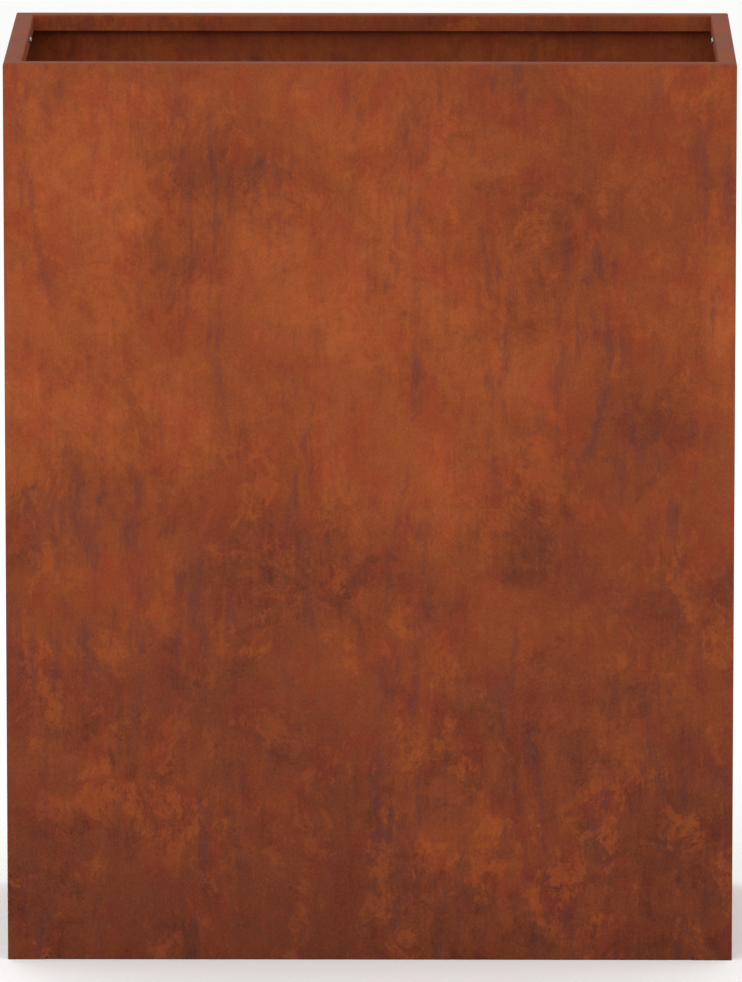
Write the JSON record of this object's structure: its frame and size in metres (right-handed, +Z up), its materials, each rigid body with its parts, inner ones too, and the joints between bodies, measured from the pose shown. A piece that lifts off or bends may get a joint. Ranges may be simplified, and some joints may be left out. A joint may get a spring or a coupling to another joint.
{
  "type": "planter box",
  "caption": "Tall rectangular weathering steel planter box with a folded rim and lip, a raised drained base, cross ties and levelling feet.",
  "frame": {"origin": "middle of the underside, on the floor", "axes": "+Z up, the long front wall faces -Y, +X to the viewer's right when facing the front"},
  "size_m": [0.8, 0.4, 1],
  "materials": {
    "weathering_steel": "rust patina, matt, with soft run-off streaks",
    "weld_bead": "rusted weld bead",
    "zinc_steel": "zinc plated, satin",
    "foot_polyamide": "moulded, fine matt"
  },
  "bodies": {
    "planter": {"front_panel": "weathering_steel", "rear_panel": "weathering_steel", "left_end_panel": "weathering_steel", "right_end_panel": "weathering_steel", "corner_weld_front_left": "weld_bead", "corner_weld_front_right": "weld_bead", "corner_weld_rear_left": "weld_bead", "corner_weld_rear_right": "weld_bead", "base_plate": "weathering_steel", "base_stiffener_left": "weathering_steel", "base_stiffener_centre": "weathering_steel", "base_stiffener_right": "weathering_steel", "ledge_front": "weathering_steel", "ledge_rear": "weathering_steel", "ledge_left": "weathering_steel", "ledge_right": "weathering_steel", "ledge_welds": "weld_bead", "tie_bar_left": "weathering_steel", "tie_bar_right": "weathering_steel", "tie_weld_studs": "zinc_steel", "tie_washers": "zinc_steel", "tie_nuts": "zinc_steel", "lip_screw_left": "zinc_steel", "lip_screw_right": "zinc_steel", "lip_weld_nuts": "zinc_steel", "foot_bracket_front_left": "weathering_steel", "foot_bracket_front_right": "weathering_steel", "foot_bracket_rear_left": "weathering_steel", "foot_bracket_rear_right": "weathering_steel", "bracket_welds": "weld_bead", "foot_weld_nuts": "zinc_steel", "foot_lock_nuts": "zinc_steel"},
    "foot_pad_front_left": {"foot_pad_front_left": "foot_polyamide"},
    "foot_stud_front_left": {"foot_stud_front_left": "zinc_steel"},
    "foot_pad_front_right": {"foot_pad_front_right": "foot_polyamide"},
    "foot_stud_front_right": {"foot_stud_front_right": "zinc_steel"},
    "foot_pad_rear_left": {"foot_pad_rear_left": "foot_polyamide"},
    "foot_stud_rear_left": {"foot_stud_rear_left": "zinc_steel"},
    "foot_pad_rear_right": {"foot_pad_rear_right": "foot_polyamide"},
    "foot_stud_rear_right": {"foot_stud_rear_right": "zinc_steel"}
  },
  "joints": [
    {"name": "foot_travel_front_left", "type": "slide", "parent": "planter", "child": "foot_pad_front_left", "axis": [0, 0, -1], "range_m": [0, 0.018]},
    {"name": "foot_turn_front_left", "type": "hinge", "parent": "foot_pad_front_left", "child": "foot_stud_front_left", "pos_m": [-0.378, -0.178, 0.012], "axis": [0, 0, -1], "range_deg": [0, 4330]},
    {"name": "foot_travel_front_right", "type": "slide", "parent": "planter", "child": "foot_pad_front_right", "axis": [0, 0, -1], "range_m": [0, 0.018]},
    {"name": "foot_turn_front_right", "type": "hinge", "parent": "foot_pad_front_right", "child": "foot_stud_front_right", "pos_m": [0.378, -0.178, 0.012], "axis": [0, 0, -1], "range_deg": [0, 4330]},
    {"name": "foot_travel_rear_left", "type": "slide", "parent": "planter", "child": "foot_pad_rear_left", "axis": [0, 0, -1], "range_m": [0, 0.018]},
    {"name": "foot_turn_rear_left", "type": "hinge", "parent": "foot_pad_rear_left", "child": "foot_stud_rear_left", "pos_m": [-0.378, 0.178, 0.012], "axis": [0, 0, -1], "range_deg": [0, 4330]},
    {"name": "foot_travel_rear_right", "type": "slide", "parent": "planter", "child": "foot_pad_rear_right", "axis": [0, 0, -1], "range_m": [0, 0.018]},
    {"name": "foot_turn_rear_right", "type": "hinge", "parent": "foot_pad_rear_right", "child": "foot_stud_rear_right", "pos_m": [0.378, 0.178, 0.012], "axis": [0, 0, -1], "range_deg": [0, 4330]}
  ],
  "couplings": [
    {"joint": "foot_turn_front_left", "follows": "foot_travel_front_left", "rad_per_m": 4188.8},
    {"joint": "foot_turn_front_right", "follows": "foot_travel_front_right", "rad_per_m": 4188.8},
    {"joint": "foot_turn_rear_left", "follows": "foot_travel_rear_left", "rad_per_m": 4188.8},
    {"joint": "foot_turn_rear_right", "follows": "foot_travel_rear_right", "rad_per_m": 4188.8}
  ]
}
